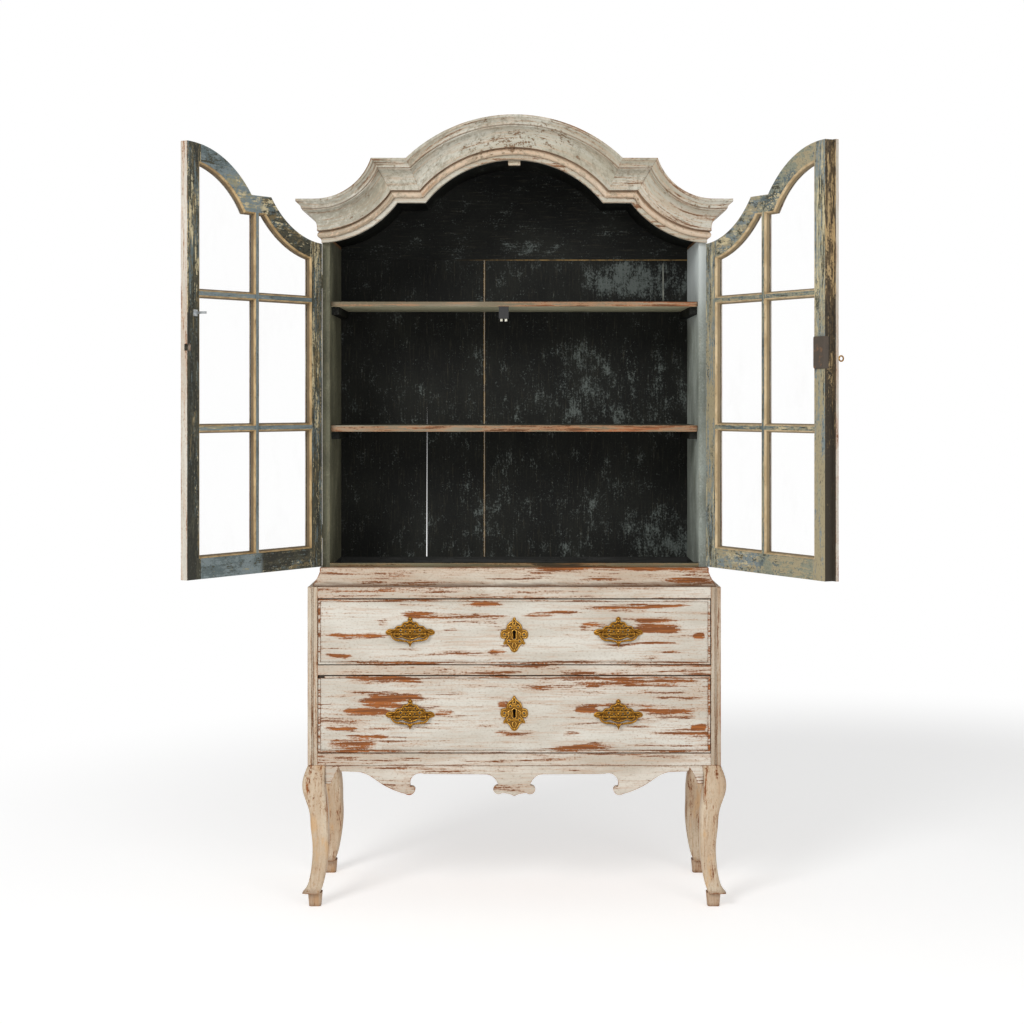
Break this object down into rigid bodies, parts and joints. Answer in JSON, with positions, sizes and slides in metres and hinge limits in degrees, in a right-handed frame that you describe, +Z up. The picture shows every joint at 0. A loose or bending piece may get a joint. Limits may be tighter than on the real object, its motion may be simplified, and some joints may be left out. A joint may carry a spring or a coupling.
{
  "type": "glazed cabinet",
  "caption": "Two-part glazed cabinet: arched case with hinged glazed doors and shelves, on a chest of drawers with a scalloped apron and cabriole legs.",
  "frame": {"origin": "on the floor, midway between the chest's sides and midway between its front and back planes", "axes": "+X to the right as seen from the front, +Y to the back, +Z up"},
  "size_m": [1.6149, 0.8305, 2.0666],
  "materials": {
    "chest_paint": "worn chalky off-white paint over red-brown pine",
    "leg_paint": "cream paint with tan wear",
    "cornice_paint": "grey-white paint with bare edges",
    "case_paint": "off-white outside, blue-grey inside",
    "interior_paint": "near-black aged paint",
    "door_paint": "blue-grey paint flaked to dark and cream",
    "putty": "hard tan linseed putty",
    "glass": "clear thin sheet",
    "raw_pine": "bare aged pine",
    "iron": "dark rusty iron",
    "brass": "old polished brass",
    "catch_plastic": "black moulded plastic",
    "roller_plastic": "white nylon",
    "strike_steel": "zinc-plated steel"
  },
  "bodies": {
    "case": {"apron": "chest_paint", "arch_header": "cornice_paint", "back_boards": "interior_paint", "bottom_rail": "chest_paint", "case_floor": "interior_paint", "case_sides": "case_paint", "chest_back": "raw_pine", "chest_sides": "chest_paint", "chest_top": "raw_pine", "corner_posts": "chest_paint", "cornice_arch": "cornice_paint", "cornice_returns": "cornice_paint", "cornice_steps": "cornice_paint", "cornice_wings": "cornice_paint", "door_stop": "interior_paint", "drawer_divider": "chest_paint", "drawer_runners": "raw_pine", "frieze_rail": "chest_paint", "hinge_pintles": "iron", "legs_back": "leg_paint", "legs_front": "leg_paint", "roller_catch": "catch_plastic", "roof_boards": "interior_paint", "shelf_cleats": "interior_paint", "shelves": "interior_paint", "waist_moulding": "chest_paint"},
    "left_door": {"left_door_bottom_rail": "door_paint", "left_door_glazing_bars": "door_paint", "left_door_hinge_leaves": "iron", "left_door_hinge_stile": "door_paint", "left_door_meeting_stile": "door_paint", "left_door_panes": "glass", "left_door_putty": "putty", "left_door_strike": "strike_steel", "left_door_top_rail": "door_paint"},
    "right_door": {"right_door_bottom_rail": "door_paint", "right_door_glazing_bars": "door_paint", "right_door_hinge_leaves": "iron", "right_door_hinge_stile": "door_paint", "right_door_lock_case": "iron", "right_door_meeting_stile": "door_paint", "right_door_panes": "glass", "right_door_putty": "putty", "right_door_top_rail": "door_paint"},
    "lock_bolt": {"right_door_lock_bolt": "iron"},
    "lock_key": {"right_door_lock_key": "brass"},
    "upper_drawer": {"upper_drawer_box": "raw_pine", "upper_drawer_front": "chest_paint", "upper_drawer_lock": "iron", "upper_drawer_plates": "brass"},
    "lower_drawer": {"lower_drawer_box": "raw_pine", "lower_drawer_front": "chest_paint", "lower_drawer_lock": "iron", "lower_drawer_plates": "brass"},
    "upper_left_bail": {"upper_left_bail": "brass"},
    "upper_right_bail": {"upper_right_bail": "brass"},
    "lower_left_bail": {"lower_left_bail": "brass"},
    "lower_right_bail": {"lower_right_bail": "brass"},
    "catch_roller_left": {"catch_roller_left": "roller_plastic"},
    "catch_roller_right": {"catch_roller_right": "roller_plastic"}
  },
  "joints": [
    {"name": "left_door_hinge", "type": "hinge", "parent": "case", "child": "left_door", "pos_m": [-0.5115, -0.1665, 0.96], "axis": [0, 0, -1], "range_deg": [-124.6, 35.4]},
    {"name": "right_door_hinge", "type": "hinge", "parent": "case", "child": "right_door", "pos_m": [0.5115, -0.1665, 0.96], "axis": [0, 0, 1], "range_deg": [-119, 41]},
    {"name": "lock_key_turn", "type": "hinge", "parent": "right_door", "child": "lock_key", "pos_m": [0.75091, -0.59118, 1.425], "axis": [-0.8746, -0.4848, 0], "range_deg": [0, 180]},
    {"name": "lock_bolt_slide", "type": "slide", "parent": "right_door", "child": "lock_bolt", "axis": [0.4848, -0.8746, 0], "range_m": [0, 0.01]},
    {"name": "upper_drawer_slide", "type": "slide", "parent": "case", "child": "upper_drawer", "axis": [0, -1, 0], "range_m": [0, 0.33]},
    {"name": "upper_left_bail_swing", "type": "hinge", "parent": "upper_drawer", "child": "upper_left_bail", "pos_m": [-0.272, -0.218, 0.7135], "axis": [-1, 0, 0], "range_deg": [0, 100]},
    {"name": "upper_right_bail_swing", "type": "hinge", "parent": "upper_drawer", "child": "upper_right_bail", "pos_m": [0.272, -0.218, 0.7135], "axis": [-1, 0, 0], "range_deg": [0, 100]},
    {"name": "lower_drawer_slide", "type": "slide", "parent": "case", "child": "lower_drawer", "axis": [0, -1, 0], "range_m": [0, 0.33]},
    {"name": "lower_left_bail_swing", "type": "hinge", "parent": "lower_drawer", "child": "lower_left_bail", "pos_m": [-0.272, -0.218, 0.498], "axis": [-1, 0, 0], "range_deg": [0, 100]},
    {"name": "lower_right_bail_swing", "type": "hinge", "parent": "lower_drawer", "child": "lower_right_bail", "pos_m": [0.272, -0.218, 0.498], "axis": [-1, 0, 0], "range_deg": [0, 100]},
    {"name": "catch_roller_left_spin", "type": "hinge", "parent": "case", "child": "catch_roller_left", "pos_m": [-0.034, -0.1235, 1.536], "axis": [0, 0, 1], "continuous": true},
    {"name": "catch_roller_right_spin", "type": "hinge", "parent": "case", "child": "catch_roller_right", "pos_m": [-0.022, -0.1235, 1.536], "axis": [0, 0, 1], "continuous": true}
  ],
  "couplings": [
    {"joint": "lock_key_turn", "follows": "lock_bolt_slide", "rad_per_m": 314.16}
  ]
}
